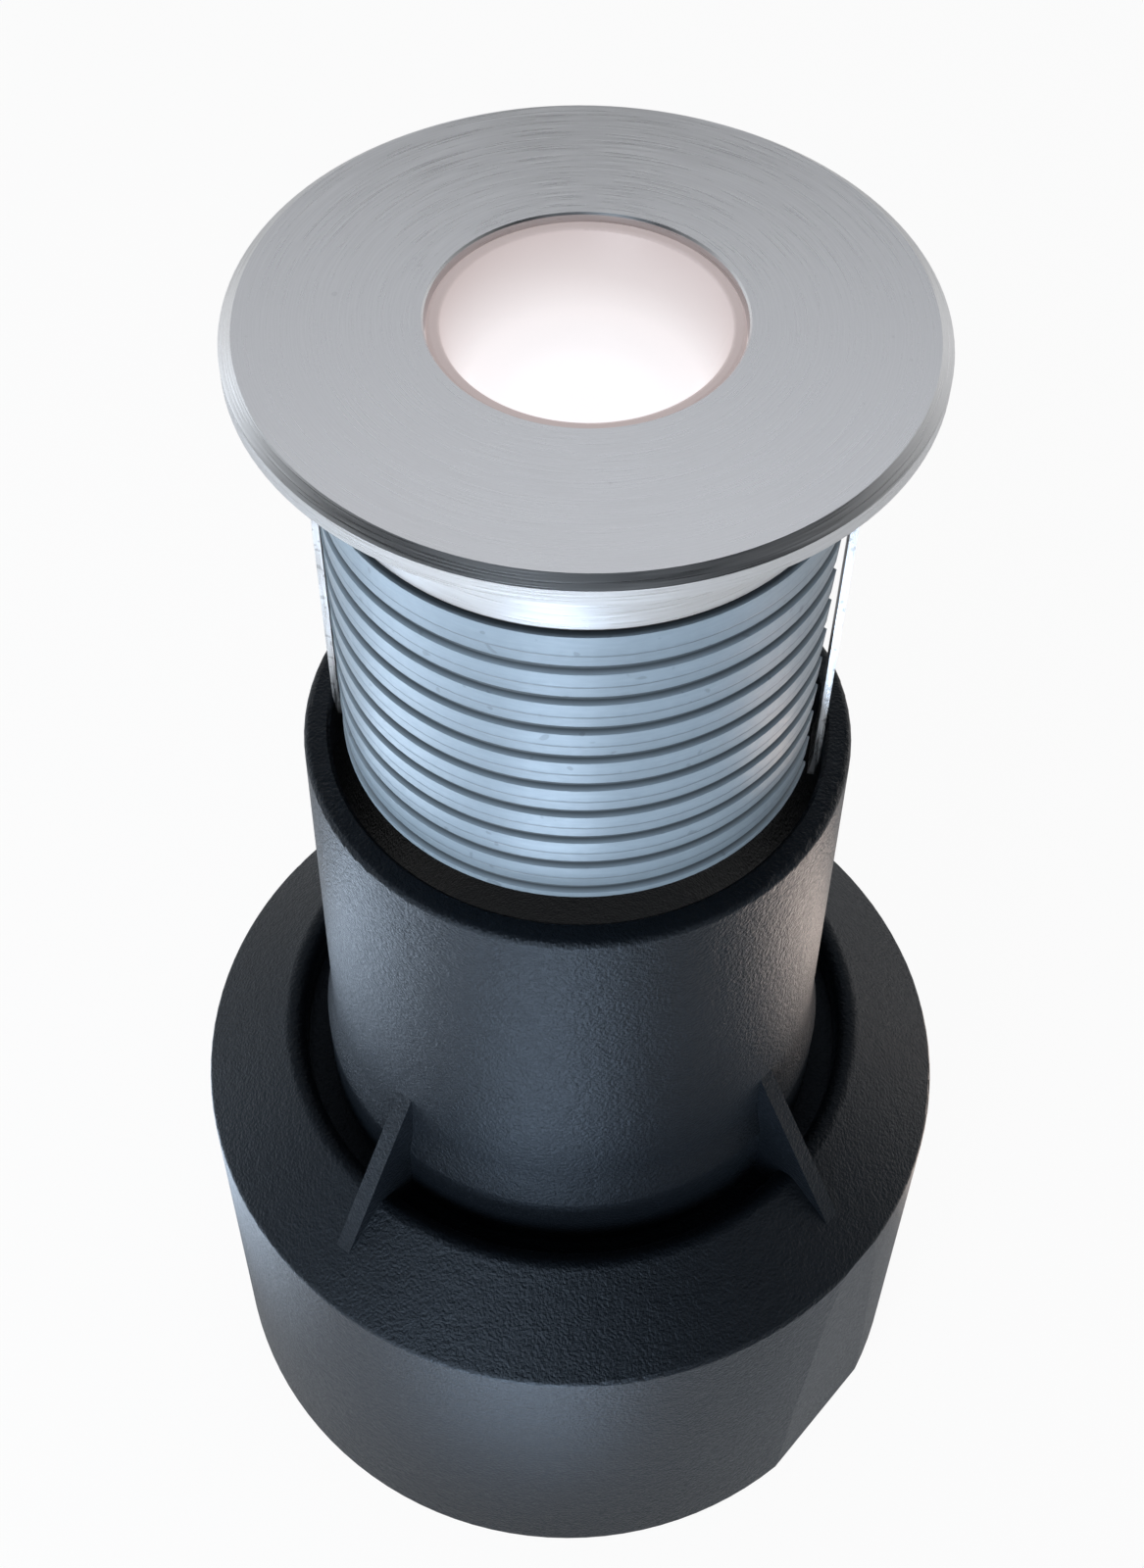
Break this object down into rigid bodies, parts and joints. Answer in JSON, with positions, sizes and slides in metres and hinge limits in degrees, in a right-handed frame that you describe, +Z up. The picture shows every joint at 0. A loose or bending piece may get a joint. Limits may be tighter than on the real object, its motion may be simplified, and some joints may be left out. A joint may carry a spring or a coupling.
{
  "type": "in ground well light",
  "caption": "Round in-ground light with a stainless trim ring, opal cup and ribbed housing, drawn up out of a black bell-footed mounting sleeve.",
  "frame": {"origin": "centre of the sleeve's open bottom edge, on the common axis", "axes": "+Z up along the common axis, -Y towards the viewer of the picture, +X to the viewer's right"},
  "size_m": [0.1372, 0.1372, 0.2481],
  "materials": {
    "sleeve_plastic": "black moulded polypropylene with a fine spark-eroded grain",
    "stainless": "turned and brushed stainless steel",
    "opal": "opal satin polycarbonate, lit from below",
    "silicone": "translucent white silicone",
    "white_plastic": "white diffuse reflector plastic",
    "seal_rubber": "black rubber",
    "painted_aluminium": "blue-grey satin powder coat on turned aluminium",
    "board": "white solder mask on a board",
    "emitter": "phosphor under silicone",
    "screw_steel": "plain stainless screws",
    "brass": "plain brass",
    "ferrite": "ferrite and wound copper",
    "can_aluminium": "drawn cans",
    "terminal_plastic": "terminal block plastic",
    "cover_aluminium": "turned aluminium plate",
    "nickel_brass": "nickel plated brass",
    "spring_steel": "cold rolled stainless strip"
  },
  "bodies": {
    "sleeve": {"mounting_sleeve": "sleeve_plastic"},
    "light": {"trim_ring": "stainless", "diffuser_cup": "opal", "diffuser_gasket": "silicone", "mixing_reflector": "white_plastic", "collar_seal": "seal_rubber", "ribbed_housing": "painted_aluminium", "thermal_pad": "silicone", "led_board": "board", "led_emitters": "emitter", "board_screws": "screw_steel", "ring_screws": "screw_steel", "driver_board": "board", "driver_standoffs": "brass", "standoff_screws": "screw_steel", "driver_inductor": "ferrite", "driver_capacitors": "can_aluminium", "terminal_block": "terminal_plastic", "bottom_cover": "cover_aluminium", "cover_seal": "seal_rubber", "cover_screws": "screw_steel", "gland_body": "nickel_brass", "gland_locknut": "nickel_brass", "gland_seal": "seal_rubber", "spring_screws": "screw_steel"},
    "spring_right": {"leaf_spring_right": "spring_steel"},
    "spring_left": {"leaf_spring_left": "spring_steel"},
    "gland_nut_body": {"gland_nut": "nickel_brass"}
  },
  "joints": [
    {"name": "light_lift", "type": "slide", "parent": "sleeve", "child": "light", "axis": [0, 0, 1], "range_m": [-0.0734, 0]},
    {"name": "spring_right_flex", "type": "hinge", "parent": "light", "child": "spring_right", "pos_m": [0.03406, -0.00479, 0.2382], "axis": [0.1392, 0.9903, 0], "range_deg": [0, 1.2], "stiffness_Nm_per_rad": 6.92},
    {"name": "spring_left_flex", "type": "hinge", "parent": "light", "child": "spring_left", "pos_m": [-0.03406, 0.00479, 0.2382], "axis": [-0.1392, -0.9903, 0], "range_deg": [0, 1.2], "stiffness_Nm_per_rad": 6.92},
    {"name": "gland_nut_turn", "type": "hinge", "parent": "light", "child": "gland_nut_body", "pos_m": [0, 0, 0.16], "axis": [0, 0, 1], "range_deg": [0, 360]}
  ]
}
